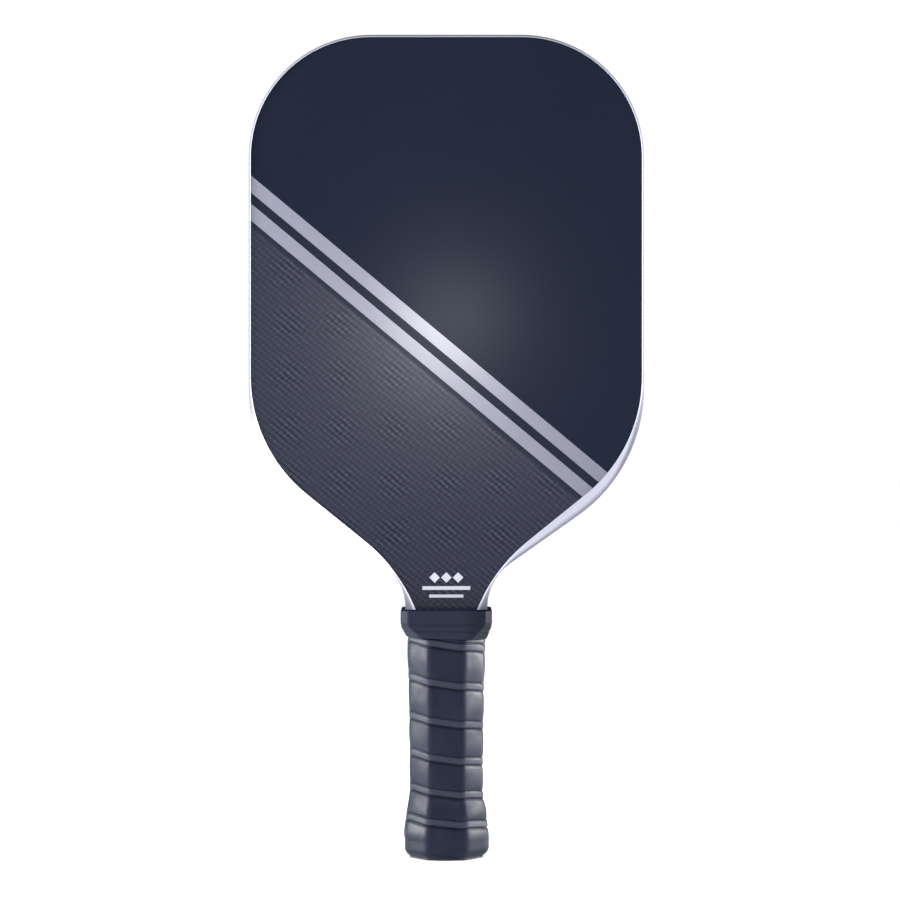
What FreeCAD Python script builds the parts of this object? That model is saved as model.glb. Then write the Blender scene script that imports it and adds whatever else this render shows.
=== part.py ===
import FreeCAD, Part
import math
import os
from types import SimpleNamespace

import Sketcher
from FreeCAD import Placement, Rotation, Vector

# Pickleball paddle, in millimetres. +Z runs from the butt of the handle to the top of the head,
# the front playing face looks along -Y, and the origin is the middle of the butt's flat end.

DIMENSIONS = {
    # outside of the edge guard, which is the outline of the whole head
    "guard_half_width": 97.7,
    "guard_top": 406.4,
    "guard_corner_radius": 60.6,
    "guard_shoulder_height": 231.9,
    "guard_shoulder_radius": 76.9,
    "guard_slant": 54.7,
    "guard_throat_radius": 26.2,
    "guard_neck_half": 20.3,
    "guard_depth": 16.0,
    "guard_bevel": 1.6,
    "guard_cut_bottom": 85.0,
    # opening between the guard's lips, which is the outline of the visible face
    "window_half_width": 96.5,
    "window_top": 405.0,
    "window_corner_radius": 59.2,
    "window_shoulder_height": 237.3,
    "window_shoulder_radius": 74.3,
    "window_slant": 51.1,
    "window_throat_radius": 84.5,
    "window_neck_half": 8.9,
    "lip_overlap": 0.5,
    # the sandwich of core, bond films, face skins and printed film
    "core_depth": 13.0,
    "bond_depth": 0.2,
    "skin_depth": 0.5,
    "print_depth": 0.1,
    "mark_depth": 0.06,
    "cell_pitch": 10.0,
    "cell_wall": 0.45,
    "core_rim": 1.0,
    "tongue_half": 13.0,
    # printed bands: the height at which each edge crosses the middle line
    "band_slope": 0.833,
    "band_reach": 110.0,
    "upper_stripe_top": 256.4,
    "upper_stripe_bottom": 248.0,
    "lower_stripe_top": 242.6,
    "lower_stripe_bottom": 234.2,
    "pinstripe_bottom": 231.3,
    # plain mark on the throat: a row of diamonds over two bars
    "diamond_height": 138.4,
    "diamond_half": 2.6,
    "diamond_spacing": 5.8,
    "upper_bar_bottom": 132.3,
    "upper_bar_half": 11.8,
    "upper_bar_depth": 1.8,
    "lower_bar_bottom": 128.5,
    "lower_bar_half": 8.4,
    "lower_bar_depth": 1.5,
    # octagonal handle inside the wrap
    "handle_bottom": 3.0,
    "handle_top": 121.4,
    "handle_half_width": 16.05,
    "handle_half_depth": 12.45,
    "handle_bevel": 7.65,
    # butt cap; a "grow" says how far a section stands out from the handle's own octagon
    "flange_grow": 2.0,
    "flange_top": 1.0,
    "flange_round": 0.8,
    "cap_heel_height": 3.0,
    "cap_heel_grow": 2.7,
    "cap_flare_height": 8.0,
    "cap_flare_grow": 2.95,
    "cap_top": 27.0,
    "cap_top_grow": 0.55,
    "badge_shrink": 4.2,
    "badge_depth": 0.8,
    "badge_gap": 0.15,
    "staple_height": 16.0,
    "staple_half_width": 4.4,
    "staple_wire": 0.8,
    "staple_rise": 0.4,
    "staple_leg": 4.2,
    "staple_clearance": 5.0,
    # grip wrap, from its foot at the butt up to where it is squeezed under the collar
    "wrap_foot_grow": 3.2,
    "wrap_heel_height": 2.4,
    "wrap_heel_grow": 4.3,
    "wrap_flare_bottom": 4.5,
    "wrap_flare_top": 12.0,
    "wrap_flare_grow": 4.95,
    "wrap_shoulder_height": 23.0,
    "wrap_shoulder_grow": 3.75,
    "wrap_waist_height": 31.0,
    "wrap_waist_grow": 2.05,
    "wrap_middle_height": 80.0,
    "wrap_middle_grow": 2.5,
    "wrap_neck_height": 108.2,
    "wrap_neck_grow": 3.35,
    "wrap_tuck_height": 110.2,
    "wrap_top": 118.0,
    "wrap_top_grow": 2.45,
    "wrap_bore_lap": 0.5,
    # closing tape and the rubber collar over the end of the wrap
    "tape_bottom": 110.4,
    "tape_depth": 0.2,
    "collar_bottom": 108.6,
    "collar_mouth_top": 110.4,
    "collar_shoulder": 114.6,
    "collar_top": 122.6,
    "collar_foot_grow": 4.2,
    "collar_half_width": 22.5,
    "collar_half_depth": 17.2,
    "collar_bevel": 4.6,
    "collar_mouth_grow": 3.5,
    "collar_bore_grow": 2.75,
    "collar_gap": 0.1,
    "collar_round": 0.5,
    # how far cuts run past what they cut
    "cut_lap": 1.0,
    "cut_reach": 200.0,
}


class Measure:
    """A number together with the expression that gives it on the sheet."""

    def __init__(self, text, value):
        self.text = text
        self.value = value

    def __add__(self, other):
        other = measure(other)
        return Measure(f"({self.text} + {other.text})", self.value + other.value)

    def __sub__(self, other):
        other = measure(other)
        return Measure(f"({self.text} - {other.text})", self.value - other.value)

    def __mul__(self, other):
        other = measure(other)
        return Measure(f"({self.text} * {other.text})", self.value * other.value)

    def __truediv__(self, other):
        other = measure(other)
        return Measure(f"({self.text} / {other.text})", self.value / other.value)

    def __neg__(self):
        return self * -1

    def __radd__(self, other):
        return measure(other) + self

    def __rsub__(self, other):
        return measure(other) - self

    def __rmul__(self, other):
        return self * other


def measure(number):
    if isinstance(number, Measure):
        return number
    return Measure(f"({number:.7g})", number)


DIMS = SimpleNamespace(
    **{alias: Measure(f"dims.{alias}", value) for alias, value in DIMENSIONS.items()})

# Each outline of the head. The blank reaches a little way under the guard's lips.
OUTLINES = {
    "guard": {
        "half_width": DIMS.guard_half_width,
        "top": DIMS.guard_top,
        "corner_radius": DIMS.guard_corner_radius,
        "shoulder_height": DIMS.guard_shoulder_height,
        "shoulder_radius": DIMS.guard_shoulder_radius,
        "slant": DIMS.guard_slant,
        "throat_radius": DIMS.guard_throat_radius,
        "neck_half": DIMS.guard_neck_half,
    },
    "blank": {
        "half_width": DIMS.window_half_width + DIMS.lip_overlap,
        "top": DIMS.window_top + DIMS.lip_overlap,
        "corner_radius": DIMS.window_corner_radius + DIMS.lip_overlap,
        "shoulder_height": DIMS.window_shoulder_height,
        "shoulder_radius": DIMS.window_shoulder_radius + DIMS.lip_overlap,
        "slant": DIMS.window_slant,
        "throat_radius": DIMS.window_throat_radius - DIMS.lip_overlap,
        "neck_half": DIMS.window_neck_half + DIMS.lip_overlap,
    },
    "window": {
        "half_width": DIMS.window_half_width,
        "top": DIMS.window_top,
        "corner_radius": DIMS.window_corner_radius,
        "shoulder_height": DIMS.window_shoulder_height,
        "shoulder_radius": DIMS.window_shoulder_radius,
        "slant": DIMS.window_slant,
        "throat_radius": DIMS.window_throat_radius,
        "neck_half": DIMS.window_neck_half,
    },
}

# Where each layer of the sandwich starts, measured outward from the middle plane, and its depth.
SKIN_START = DIMS.core_depth / 2 + DIMS.bond_depth
PRINT_START = SKIN_START + DIMS.skin_depth
LAYERS = {
    "bond": (DIMS.core_depth / 2, DIMS.bond_depth),
    "skin": (SKIN_START, DIMS.skin_depth),
    "print": (PRINT_START, DIMS.print_depth),
    "mark": (PRINT_START + DIMS.print_depth, DIMS.mark_depth),
}

ORIGIN = (-1, 1)        # a sketch's own origin, as a constraint names it
MIRROR_AXIS = -2        # a sketch's own upright axis
TINY = 1e-6

doc = FreeCAD.newDocument("pickleball_paddle")
sheet = doc.addObject("Spreadsheet::Sheet", "dims")
for row, (alias, value) in enumerate(DIMENSIONS.items(), start=1):
    sheet.set(f"A{row}", alias)
    sheet.set(f"B{row}", str(value))
    sheet.setAlias(f"B{row}", alias)
doc.recompute()


# ---- small tools -------------------------------------------------------------------------------


def new_body(label):
    body = doc.addObject("PartDesign::Body", label)
    body.Label = label
    body.Placement = Placement()
    return body


def new_sketch(body, name, role, offset=0):
    """An empty sketch on one of the body's own planes, moved along that plane's normal."""
    sketch = body.newObject("Sketcher::SketchObject", name)
    plane = next(feature for feature in body.Origin.OriginFeatures if feature.Role == role)
    sketch.AttachmentSupport = [(plane, "")]
    sketch.MapMode = "FlatFace"
    sketch.setExpression("AttachmentOffset.Base.z", measure(offset).text)
    return sketch


def bind(sketch, kind, places, amount):
    """A dimension of the sketch, tied to the sheet."""
    amount = measure(amount)
    number, expression = amount.value, amount.text
    if kind == "Angle":
        number = math.radians(number)
        expression = f"{expression} * 1 deg"
    index = sketch.addConstraint(Sketcher.Constraint(kind, *places, number))
    sketch.setExpression(f"Constraints[{index}]", expression)


def polygon(sketch, corners):
    """A closed polygon whose corners are pairs of measures."""
    first = sketch.GeometryCount
    corners = [(measure(across), measure(height)) for across, height in corners]
    points = [Vector(across.value, height.value, 0) for across, height in corners]
    count = len(corners)
    for step in range(count):
        sketch.addGeometry(Part.LineSegment(points[step], points[(step + 1) % count]))
    for step in range(count):
        line = first + step
        following = first + (step + 1) % count
        sketch.addConstraint(Sketcher.Constraint("Coincident", line, 2, following, 1))
        bind(sketch, "DistanceX", (*ORIGIN, line, 1), corners[step][0])
        bind(sketch, "DistanceY", (*ORIGIN, line, 1), corners[step][1])


def pad(body, sketch, depth, symmetric=False):
    feature = body.newObject("PartDesign::Pad", f"{sketch.Name}_pad")
    feature.Profile = sketch
    if symmetric:
        feature.SideType = "Symmetric"
    feature.setExpression("Length", depth.text)
    return feature


def pocket(body, sketch, depth, symmetric=False, reverse=False):
    """Cut the sketch's area out of the body, and check that it did remove material."""
    doc.recompute()
    before = body.Shape.Volume
    feature = body.newObject("PartDesign::Pocket", f"{sketch.Name}_pocket")
    feature.Profile = sketch
    if symmetric:
        feature.SideType = "Symmetric"
    feature.Reversed = reverse
    feature.setExpression("Length", depth.text)
    doc.recompute()
    if body.Shape.Volume >= before - TINY:
        raise RuntimeError(f"{feature.Name} removed nothing")
    return feature


def fillet(body, base, edge_test, radius):
    """Round the edges of the base feature that pass the test."""
    doc.recompute()
    names = [
        f"Edge{index}"
        for index, edge in enumerate(base.Shape.Edges, start=1)
        if edge_test(edge)
    ]
    feature = body.newObject("PartDesign::Fillet", f"{base.Name}_fillet")
    feature.Base = (base, names)
    feature.setExpression("Radius", radius.text)
    doc.recompute()
    return feature


# ---- outline of the head -----------------------------------------------------------------------


def mirrored(point):
    return Vector(-point.x, point.y, 0)


def head_points(kind, bottom):
    """Centres, and the places where lines meet arcs, on the right half of an outline."""
    value = {name: amount.value for name, amount in OUTLINES[kind].items()}
    slant = math.radians(value["slant"])
    outward = Vector(math.cos(slant), -math.sin(slant), 0)
    corner = Vector(value["half_width"] - value["corner_radius"],
                    value["top"] - value["corner_radius"], 0)
    shoulder = Vector(value["half_width"] - value["shoulder_radius"], value["shoulder_height"], 0)
    throat_x = value["neck_half"] + value["throat_radius"]
    reach = outward.dot(shoulder) + value["shoulder_radius"] + value["throat_radius"]
    throat = Vector(throat_x, (outward.x * throat_x - reach) / -outward.y, 0)
    drop = max(bottom - throat.y, 0)
    neck = Vector(throat.x - math.sqrt(value["throat_radius"] ** 2 - drop ** 2), throat.y + drop, 0)
    return {
        "value": value,
        "slant": slant,
        "corner": corner,
        "shoulder": shoulder,
        "throat": throat,
        "neck": neck,
        "slant_low": throat - outward * value["throat_radius"],
        "slant_high": shoulder + outward * value["shoulder_radius"],
        "side_low": Vector(value["half_width"], shoulder.y, 0),
        "side_high": Vector(value["half_width"], corner.y, 0),
        "top": Vector(corner.x, value["top"], 0),
    }


def arc(centre, radius, start, end):
    """Counter-clockwise arc between two points on a circle."""
    first = math.atan2(start.y - centre.y, start.x - centre.x)
    last = math.atan2(end.y - centre.y, end.x - centre.x)
    if last <= first:
        last += 2 * math.pi
    return Part.ArcOfCircle(Part.Circle(centre, Vector(0, 0, 1), radius), first, last)


def head_chain(kind, bottom, tongue=None):
    """
    The closed outline, up the right side and down the left. Each item is
    (role, geometry, end it is entered by, end it is left by); a sketch calls an arc's ends 1 and 2.
    """
    at = head_points(kind, bottom)
    value = at["value"]
    base = Vector(at["neck"].x, bottom, 0)
    right = []

    def line(role, start, end):
        right.append((role, Part.LineSegment(start, end), start, end))

    if tongue:
        half, low = tongue
        line("tongue_side", Vector(half, low, 0), Vector(half, bottom, 0))
        line("tongue_step", Vector(half, bottom, 0), base)
    if at["neck"].y > bottom + TINY:
        line("neck", base, at["neck"])
    right.append(("throat", arc(at["throat"], value["throat_radius"], at["slant_low"], at["neck"]),
                  at["neck"], at["slant_low"]))
    line("slant", at["slant_low"], at["slant_high"])
    right.append(("shoulder", arc(at["shoulder"], value["shoulder_radius"], at["slant_high"],
                                  at["side_low"]), at["slant_high"], at["side_low"]))
    line("side", at["side_low"], at["side_high"])
    right.append(("corner", arc(at["corner"], value["corner_radius"], at["side_high"], at["top"]),
                  at["side_high"], at["top"]))

    chain = [(role, geometry, 2 if role == "throat" else 1, 1 if role == "throat" else 2)
             for role, geometry, start, end in right]
    chain.append(("top", Part.LineSegment(at["top"], mirrored(at["top"])), 1, 2))
    for role, geometry, start, end in reversed(right):
        if isinstance(geometry, Part.LineSegment):
            copy = Part.LineSegment(mirrored(end), mirrored(start))
            chain.append((role, copy, 1, 2))
        elif role == "throat":
            copy = arc(mirrored(geometry.Center), geometry.Radius, mirrored(start), mirrored(end))
            chain.append((role, copy, 2, 1))
        else:
            copy = arc(mirrored(geometry.Center), geometry.Radius, mirrored(end), mirrored(start))
            chain.append((role, copy, 1, 2))
    first = right[0][2]
    chain.append(("bottom", Part.LineSegment(mirrored(first), first), 1, 2))
    return chain


def draw_head(sketch, kind, bottom, tongue=None):
    """Draw one of the head's outlines; the tongue is a pair of measures, half width and end."""
    numbers = (tongue[0].value, tongue[1].value) if tongue else None
    chain = head_chain(kind, bottom.value, numbers)
    for role, geometry, entry, leave in chain:
        sketch.addGeometry(geometry)
    middle = next(index for index, item in enumerate(chain) if item[0] == "top")
    roles = [item[0] for item in chain]
    sharp = ("tongue_side", "tongue_step", "bottom")

    for index in range(len(chain)):
        after = (index + 1) % len(chain)
        smooth = index < middle and roles[index] not in sharp and roles[after] not in sharp
        kind_of_joint = "Tangent" if smooth else "Coincident"
        sketch.addConstraint(Sketcher.Constraint(
            kind_of_joint, index, chain[index][3], after, chain[after][2]))

    for index in range(middle):
        twin = 2 * middle - index
        sketch.addConstraint(Sketcher.Constraint(
            "Symmetric", index, chain[index][2], twin, chain[twin][3], MIRROR_AXIS))
        if roles[index] in ("throat", "shoulder", "corner"):
            sketch.addConstraint(Sketcher.Constraint("Equal", index, twin))
        if roles[index] in ("side", "neck", "tongue_side"):
            sketch.addConstraint(Sketcher.Constraint("Vertical", index))
        if roles[index] == "tongue_step":
            sketch.addConstraint(Sketcher.Constraint("Horizontal", index))
    sketch.addConstraint(Sketcher.Constraint(
        "Symmetric", middle, 1, middle, 2, MIRROR_AXIS))

    name = OUTLINES[kind]
    for role in ("throat", "shoulder", "corner"):
        bind(sketch, "Radius", (roles.index(role),), name[f"{role}_radius"])
    bind(sketch, "DistanceX", (*ORIGIN, roles.index("side"), 1), name["half_width"])
    bind(sketch, "DistanceY", (*ORIGIN, middle, 1), name["top"])
    bind(sketch, "DistanceY", (*ORIGIN, roles.index("shoulder"), 3), name["shoulder_height"])
    bind(sketch, "DistanceX", (*ORIGIN, roles.index("throat"), 3),
         name["neck_half"] + name["throat_radius"])
    bind(sketch, "Angle", (roles.index("slant"),), 90 - name["slant"])
    if tongue:
        bind(sketch, "DistanceX", (*ORIGIN, 0, 1), tongue[0])
        bind(sketch, "DistanceY", (*ORIGIN, 0, 1), tongue[1])
        bind(sketch, "DistanceY", (*ORIGIN, 0, 2), bottom)
    else:
        bind(sketch, "DistanceY", (*ORIGIN, 0, chain[0][2]), bottom)


def layer_place(side, layer):
    """How far along -Y a layer's sketch lies, and the layer's depth."""
    start, depth = LAYERS[layer]
    if side == "front":
        return start, depth
    return -(start + depth), depth


TONGUE = (DIMS.tongue_half, DIMS.handle_bottom)


def blank_layer(side, layer, label):
    """A film or skin that covers the blank from the head down to the end of the tongue."""
    body = new_body(label)
    place, depth = layer_place(side, layer)
    sketch = new_sketch(body, f"{label}_outline", "XZ_Plane", place)
    draw_head(sketch, "blank", DIMS.handle_top, TONGUE)
    pad(body, sketch, depth)
    return body


# ---- honeycomb core ----------------------------------------------------------------------------


def honeycomb_core():
    """Hexagonal cells, each axis along Y, inside a solid rim that follows the blank's outline."""
    tongue = (DIMS.tongue_half.value, DIMS.handle_bottom.value)
    chain = head_chain("blank", DIMS.handle_top.value, tongue)
    outline = Part.Wire([item[1].toShape() for item in chain])
    inside = Part.Face(outline.makeOffset2D(-DIMS.core_rim.value))
    pitch = DIMS.cell_pitch.value
    radius = (pitch - DIMS.cell_wall.value) / math.sqrt(3)
    spokes = [Vector(math.cos(angle), math.sin(angle), 0) * radius
              for angle in (math.radians(30 - 60 * step) for step in range(6))]
    box = inside.BoundBox
    row_step = pitch * math.sqrt(3) / 2
    rows = int(box.YMax / row_step) + 1
    columns = int(box.XMax / pitch) + 1
    cells = []
    for row in range(rows):
        shift = pitch / 2 if row % 2 else 0
        for column in range(-columns, columns + 1):
            centre = Vector(column * pitch + shift, row * row_step, 0)
            corners = [centre + spoke for spoke in spokes]
            if all(inside.isInside(corner, TINY, True) for corner in corners):
                cells.append(Part.makePolygon(corners + corners[:1]))
    depth = DIMS.core_depth.value
    core = doc.addObject("Part::Feature", "honeycomb_core")
    core.Label = "honeycomb_core"
    core.Shape = Part.Face([outline] + cells).extrude(Vector(0, 0, depth))
    core.Placement = Placement(Vector(0, depth / 2, 0), Rotation(Vector(1, 0, 0), 90))
    return core


# ---- printed film on the faces -----------------------------------------------------------------


def draw_band(sketch, low, high, slope):
    """A slanted band right across the head, between two heights on the middle line."""
    reach = DIMS.band_reach
    polygon(sketch, [(across, level + across * slope)
                     for across, level in ((-reach, low), (reach, low), (reach, high), (-reach, high))])


def print_area(side, label, low, high):
    """The part of the printed film between two slanted lines; None leaves that end open."""
    body = new_body(label)
    place, depth = layer_place(side, "print")
    outline = new_sketch(body, f"{label}_outline", "XZ_Plane", place)
    draw_head(outline, "window", DIMS.handle_top)
    pad(body, outline, depth)
    slope = -DIMS.band_slope if side == "front" else DIMS.band_slope
    cut = new_sketch(body, f"{label}_limits", "XZ_Plane", place)
    if high:
        draw_band(cut, high, DIMS.guard_top + DIMS.cut_reach, slope)
    if low:
        draw_band(cut, -DIMS.cut_reach, low, slope)
    pocket(body, cut, DIMS.cut_reach, symmetric=True)
    return body


PRINTED_BANDS = [
    ("satin_panel", DIMS.upper_stripe_top, None),
    ("upper_stripe", DIMS.upper_stripe_bottom, DIMS.upper_stripe_top),
    ("stripe_gap", DIMS.lower_stripe_top, DIMS.upper_stripe_bottom),
    ("lower_stripe", DIMS.lower_stripe_bottom, DIMS.lower_stripe_top),
    ("pinstripe", DIMS.pinstripe_bottom, DIMS.lower_stripe_bottom),
    ("weave_panel", None, DIMS.pinstripe_bottom),
]


def throat_mark(side):
    """A plain printed mark: three small diamonds in a row, over two bars."""
    label = f"{side}_throat_mark"
    body = new_body(label)
    place, depth = layer_place(side, "mark")
    sketch = new_sketch(body, f"{label}_shapes", "XZ_Plane", place)
    for step in (-1, 0, 1):
        middle, half = DIMS.diamond_spacing * step, DIMS.diamond_half
        polygon(sketch, [
            (middle - half, DIMS.diamond_height),
            (middle, DIMS.diamond_height - half),
            (middle + half, DIMS.diamond_height),
            (middle, DIMS.diamond_height + half),
        ])
    for bottom, half, tall in (
            (DIMS.upper_bar_bottom, DIMS.upper_bar_half, DIMS.upper_bar_depth),
            (DIMS.lower_bar_bottom, DIMS.lower_bar_half, DIMS.lower_bar_depth)):
        polygon(sketch, [(-half, bottom), (half, bottom), (half, bottom + tall),
                         (-half, bottom + tall)])
    pad(body, sketch, depth)
    return body


# ---- edge guard --------------------------------------------------------------------------------


def guard_lip(body, side):
    """One bevelled side of the guard, from its outer wall in and up to the edge of the opening."""
    sign = 1 if side == "front" else -1
    face = DIMS.guard_depth / 2
    wall_edge = new_sketch(body, f"guard_{side}_wall_edge", "XZ_Plane",
                           (face - DIMS.guard_bevel) * sign)
    draw_head(wall_edge, "guard", DIMS.guard_cut_bottom)
    lip_edge = new_sketch(body, f"guard_{side}_lip_edge", "XZ_Plane", face * sign)
    draw_head(lip_edge, "window", DIMS.guard_cut_bottom)
    doc.recompute()
    loft = body.newObject("PartDesign::AdditiveLoft", f"guard_{side}_bevel")
    loft.Profile = wall_edge
    loft.Sections = [lip_edge]
    loft.Ruled = True
    doc.recompute()


def edge_guard():
    """A U-shaped rim: a wall outside the blank and a bevelled lip over each face."""
    body = new_body("edge_guard")
    outside = new_sketch(body, "guard_outside", "XZ_Plane")
    draw_head(outside, "guard", DIMS.guard_cut_bottom)
    pad(body, outside, DIMS.guard_depth - 2 * DIMS.guard_bevel, symmetric=True)
    guard_lip(body, "front")
    guard_lip(body, "back")
    slot = new_sketch(body, "guard_slot", "XZ_Plane")
    draw_head(slot, "blank", DIMS.guard_cut_bottom - DIMS.cut_lap)
    pocket(body, slot, 2 * PRINT_START, symmetric=True)
    window = new_sketch(body, "guard_window", "XZ_Plane")
    draw_head(window, "window", DIMS.guard_cut_bottom - DIMS.cut_lap)
    pocket(body, window, DIMS.cut_reach, symmetric=True)
    below = new_sketch(body, "guard_below_neck", "XZ_Plane")
    wide = DIMS.guard_half_width
    polygon(below, [(-wide, 0), (wide, 0), (wide, DIMS.handle_top), (-wide, DIMS.handle_top)])
    pocket(body, below, DIMS.cut_reach, symmetric=True)
    return body


# ---- octagonal pieces of the handle ------------------------------------------------------------


def octagon_corners(wide, deep, bevel):
    """Corners of a rectangle with 45 degree bevels, from its half sizes, going round from the right."""
    flat_x = wide - bevel
    flat_y = deep - bevel
    return [
        (wide, -flat_y), (wide, flat_y), (flat_x, deep), (-flat_x, deep),
        (-wide, flat_y), (-wide, -flat_y), (-flat_x, -deep), (flat_x, -deep),
    ]


def handle_corners(grow):
    """
    The handle's octagon grown evenly all round. Its bevels stay at 45 degrees, so each flat
    changes by the tangent of 22.5 degrees.
    """
    bevel = DIMS.handle_bevel + measure(grow) * (2 - math.sqrt(2))
    return octagon_corners(DIMS.handle_half_width + grow, DIMS.handle_half_depth + grow, bevel)


def octagon_sketch(body, name, height, grow):
    sketch = new_sketch(body, name, "XY_Plane", height)
    polygon(sketch, handle_corners(grow))
    return sketch


def octagon_loft(body, name, stations, kind="PartDesign::AdditiveLoft"):
    """Flat-sided loft through grown octagons; each station is (height, grow)."""
    sketches = [octagon_sketch(body, f"{name}_{index}", height, grow)
                for index, (height, grow) in enumerate(stations)]
    return flat_loft(body, name, sketches, kind)


def flat_loft(body, name, sketches, kind):
    """Loft with straight sides; edges that face each other are parallel, so its faces are flat."""
    doc.recompute()
    loft = body.newObject(kind, f"{name}_loft")
    loft.Profile = sketches[0]
    loft.Sections = sketches[1:]
    loft.Ruled = True
    doc.recompute()
    return loft


def staple_corners(sign, outer):
    """A staple seen along Z: crown outward of the handle's flat, legs into it."""
    half = DIMS.staple_half_width
    inner_half = half - DIMS.staple_wire
    outer = outer * sign
    crown = (DIMS.handle_half_depth + DIMS.staple_rise) * sign
    tip = (DIMS.handle_half_depth - DIMS.staple_leg) * sign
    return [
        (-half, outer), (half, outer), (half, tip), (inner_half, tip),
        (inner_half, crown), (-inner_half, crown), (-inner_half, tip), (-half, tip),
    ]


def cut_staple_slots(body, name, signs):
    """Slots the staples sit in, open outward so that their crowns can be driven in."""
    sketch = new_sketch(body, name, "XY_Plane", DIMS.staple_height)
    for sign in signs:
        polygon(sketch, staple_corners(sign, DIMS.handle_half_depth + DIMS.staple_clearance))
    pocket(body, sketch, DIMS.staple_wire, reverse=True)


def butt_staples():
    """Two wire staples, one each side, that pin the butt cap to the handle halves."""
    body = new_body("butt_cap_staples")
    sketch = new_sketch(body, "staples", "XY_Plane", DIMS.staple_height)
    crown = DIMS.handle_half_depth + DIMS.staple_rise + DIMS.staple_wire
    for sign in (-1, 1):
        polygon(sketch, staple_corners(sign, crown))
    pad(body, sketch, DIMS.staple_wire)
    return body


def handle_half(side):
    """Half of the foam handle, a channel glued over one side of the blank's tongue."""
    label = f"handle_{side}_half"
    body = new_body(label)
    sign = -1 if side == "front" else 1
    profile = [(DIMS.handle_half_width, 0)]
    profile += [(across, deep * sign) for across, deep in handle_corners(0)[1:5]]
    profile += [
        (-DIMS.handle_half_width, 0),
        (-DIMS.tongue_half, 0),
        (-DIMS.tongue_half, PRINT_START * sign),
        (DIMS.tongue_half, PRINT_START * sign),
        (DIMS.tongue_half, 0),
    ]
    sketch = new_sketch(body, f"{label}_section", "XY_Plane", DIMS.handle_bottom)
    polygon(sketch, profile)
    pad(body, sketch, DIMS.handle_top - DIMS.handle_bottom)
    cut_staple_slots(body, f"{label}_staple_holes", (sign,))
    return body


# Outside of the butt cap above its flange, which is also the inside of the wrap there.
CAP_STATIONS = [
    (DIMS.flange_top, DIMS.flange_grow),
    (DIMS.cap_heel_height, DIMS.cap_heel_grow),
    (DIMS.cap_flare_height, DIMS.cap_flare_grow),
    (DIMS.cap_top, DIMS.cap_top_grow),
]


def butt_cap():
    """Moulded cap: a flange at the bottom, a flare that fills out the wrap, and a floor."""
    body = new_body("butt_cap")
    flange = octagon_sketch(body, "flange", 0, DIMS.flange_grow)
    rim = pad(body, flange, DIMS.flange_top)

    def on_floor(edge):
        return abs(edge.BoundBox.ZMax) < TINY

    fillet(body, rim, on_floor, DIMS.flange_round)
    octagon_loft(body, "flare", CAP_STATIONS)
    socket = octagon_sketch(body, "socket", DIMS.handle_bottom, 0)
    pocket(body, socket, DIMS.cap_top, reverse=True)
    recess = octagon_sketch(body, "badge_recess", 0, DIMS.badge_gap - DIMS.badge_shrink)
    pocket(body, recess, DIMS.badge_depth, reverse=True)
    cut_staple_slots(body, "cap_staple_slots", (-1, 1))
    return body


def butt_badge():
    """Blank octagonal plate let into the underside of the butt cap."""
    body = new_body("butt_badge")
    sketch = octagon_sketch(body, "badge", 0, -DIMS.badge_shrink)
    pad(body, sketch, DIMS.badge_depth)
    return body


def grip_wrap():
    """The cushioned wrap as one closed sleeve, following the handle and the flare of the cap."""
    body = new_body("grip_wrap")
    octagon_loft(body, "wrap", [
        (DIMS.flange_top, DIMS.wrap_foot_grow),
        (DIMS.wrap_heel_height, DIMS.wrap_heel_grow),
        (DIMS.wrap_flare_bottom, DIMS.wrap_flare_grow),
        (DIMS.wrap_flare_top, DIMS.wrap_flare_grow),
        (DIMS.wrap_shoulder_height, DIMS.wrap_shoulder_grow),
        (DIMS.wrap_waist_height, DIMS.wrap_waist_grow),
        (DIMS.wrap_middle_height, DIMS.wrap_middle_grow),
        (DIMS.wrap_neck_height, DIMS.wrap_neck_grow),
        (DIMS.wrap_tuck_height, DIMS.wrap_top_grow),
        (DIMS.wrap_top, DIMS.wrap_top_grow),
    ])
    octagon_loft(body, "wrap_bore", CAP_STATIONS, "PartDesign::SubtractiveLoft")
    bore = octagon_sketch(body, "wrap_bore_top", DIMS.cap_top - DIMS.wrap_bore_lap, 0)
    pocket(body, bore, DIMS.wrap_top, reverse=True)
    return body


def finishing_tape():
    """Thin tape round the end of the wrap, hidden by the collar."""
    body = new_body("finishing_tape")
    outside = octagon_sketch(body, "tape", DIMS.tape_bottom, DIMS.wrap_top_grow + DIMS.tape_depth)
    pad(body, outside, DIMS.wrap_top - DIMS.tape_bottom)
    bore = octagon_sketch(body, "tape_bore", DIMS.tape_bottom, DIMS.wrap_top_grow)
    pocket(body, bore, DIMS.wrap_top - DIMS.tape_bottom, reverse=True)
    return body


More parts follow.
